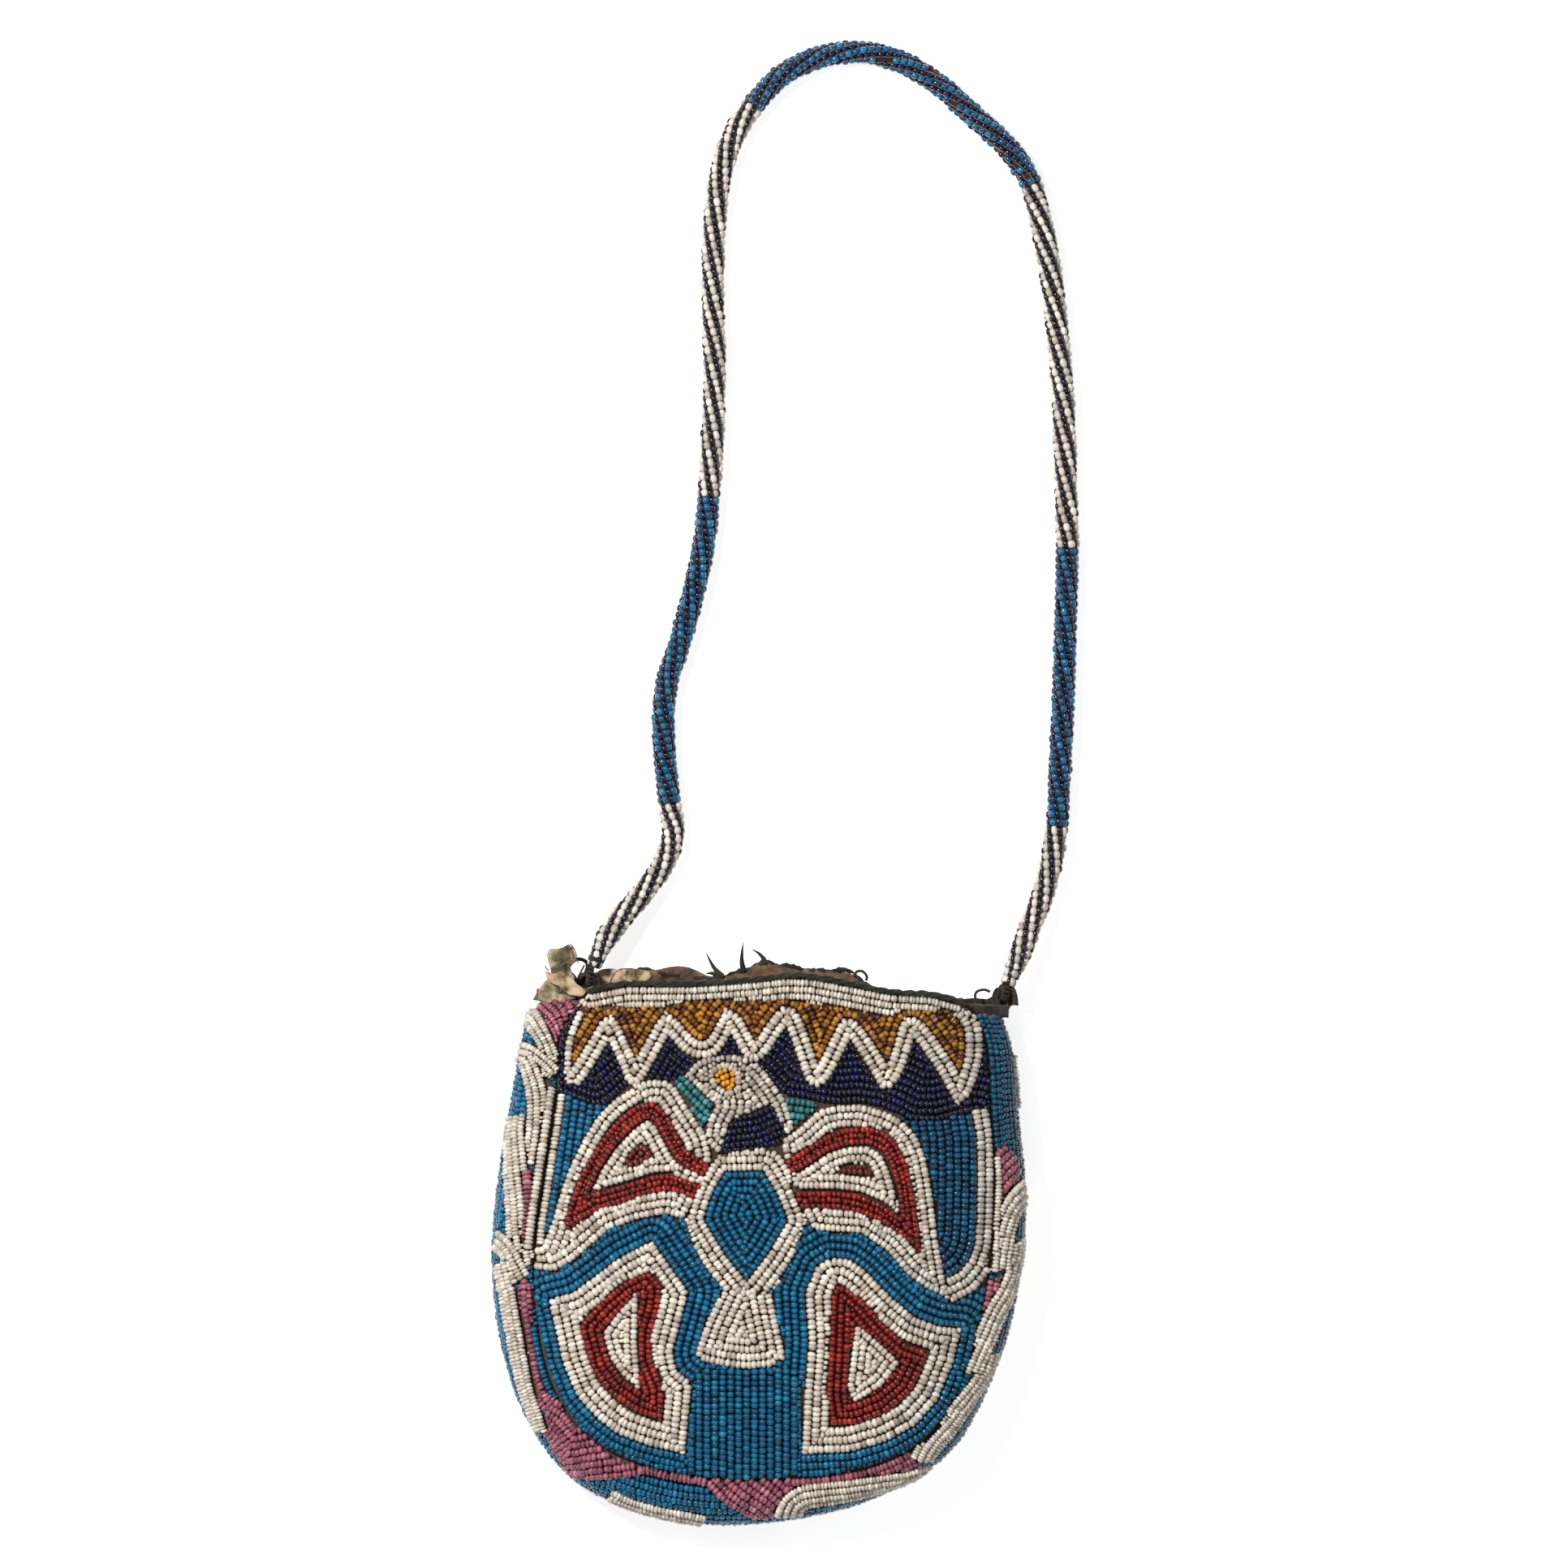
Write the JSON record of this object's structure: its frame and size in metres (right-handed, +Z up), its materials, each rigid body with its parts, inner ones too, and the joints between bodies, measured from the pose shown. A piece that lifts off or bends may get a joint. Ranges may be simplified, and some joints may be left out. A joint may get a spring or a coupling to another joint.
{
  "type": "beaded shoulder bag",
  "caption": "Small rounded cloth pouch covered in rows of seed beads, with a cotton lining and a long rope strap wound with beads.",
  "frame": {"origin": "on the table, under the middle of the whole bag, strap included, as it lies on its back", "axes": "+X to the right seen from the beaded front, +Y towards the strap, +Z up from the table, out of the front"},
  "size_m": [0.1648, 0.4157, 0.0315],
  "materials": {
    "cream_beads": "glossy",
    "cerulean_beads": "glossy",
    "navy_beads": "glossy",
    "red_beads": "glossy",
    "amber_beads": "glossy",
    "turquoise_beads": "glossy",
    "pink_beads": "glossy",
    "dark_cloth": "matte",
    "cotton_lining": "matte",
    "olive_tape": "matte",
    "thread": "matte"
  },
  "bodies": {
    "pouch": {"border_beads": "cream_beads", "zigzag_beads": "cream_beads", "head_beads": "cream_beads", "left_wing_white_beads": "cream_beads", "right_wing_white_beads": "cream_beads", "left_wing_inner_beads": "cream_beads", "right_wing_inner_beads": "cream_beads", "body_border_beads": "cream_beads", "tail_beads": "cream_beads", "left_lobe_white_beads": "cream_beads", "left_lobe_inner_beads": "cream_beads", "right_lobe_white_beads": "cream_beads", "right_lobe_inner_beads": "cream_beads", "right_edge_beads": "cream_beads", "left_band_beads": "cream_beads", "lower_right_band_beads": "cream_beads", "ground_left_beads": "cerulean_beads", "ground_right_beads": "cerulean_beads", "ground_lower_beads": "cerulean_beads", "body_beads": "cerulean_beads", "right_band_beads": "cerulean_beads", "back_beads": "cerulean_beads", "navy_left_beads": "navy_beads", "navy_middle_beads": "navy_beads", "navy_right_beads": "navy_beads", "collar_beads": "navy_beads", "left_wing_red_beads": "red_beads", "right_wing_red_beads": "red_beads", "left_lobe_red_beads": "red_beads", "right_lobe_red_beads": "red_beads", "amber_field_beads": "amber_beads", "eye_beads": "amber_beads", "left_cheek_beads": "turquoise_beads", "right_cheek_beads": "turquoise_beads", "lower_left_band_beads": "pink_beads", "front_cloth": "dark_cloth", "back_cloth": "dark_cloth", "side_band_cloth": "dark_cloth", "front_lining": "cotton_lining", "back_lining": "cotton_lining", "side_lining": "cotton_lining", "left_frayed_tuft": "cotton_lining", "front_edge_binding": "olive_tape", "left_corner_tape": "olive_tape", "right_corner_tape": "olive_tape", "middle_loose_thread": "olive_tape", "right_loose_thread": "olive_tape", "left_strap_stitching": "thread", "right_strap_stitching": "thread"},
    "strap": {"strap_section_1": "cream_beads", "strap_section_3": "cream_beads", "strap_section_5": "cream_beads", "strap_section_7": "cream_beads", "strap_section_2": "cerulean_beads", "strap_section_4": "cerulean_beads", "strap_section_6": "cerulean_beads", "strap_core": "thread", "left_strap_eye": "thread", "right_strap_eye": "thread"}
  },
  "joints": [
    {"name": "strap_swing", "type": "hinge", "parent": "pouch", "child": "strap", "pos_m": [0.00364, -0.05591, 0.009], "axis": [0.9994, -0.0351, 0], "range_deg": [0, 90]}
  ]
}
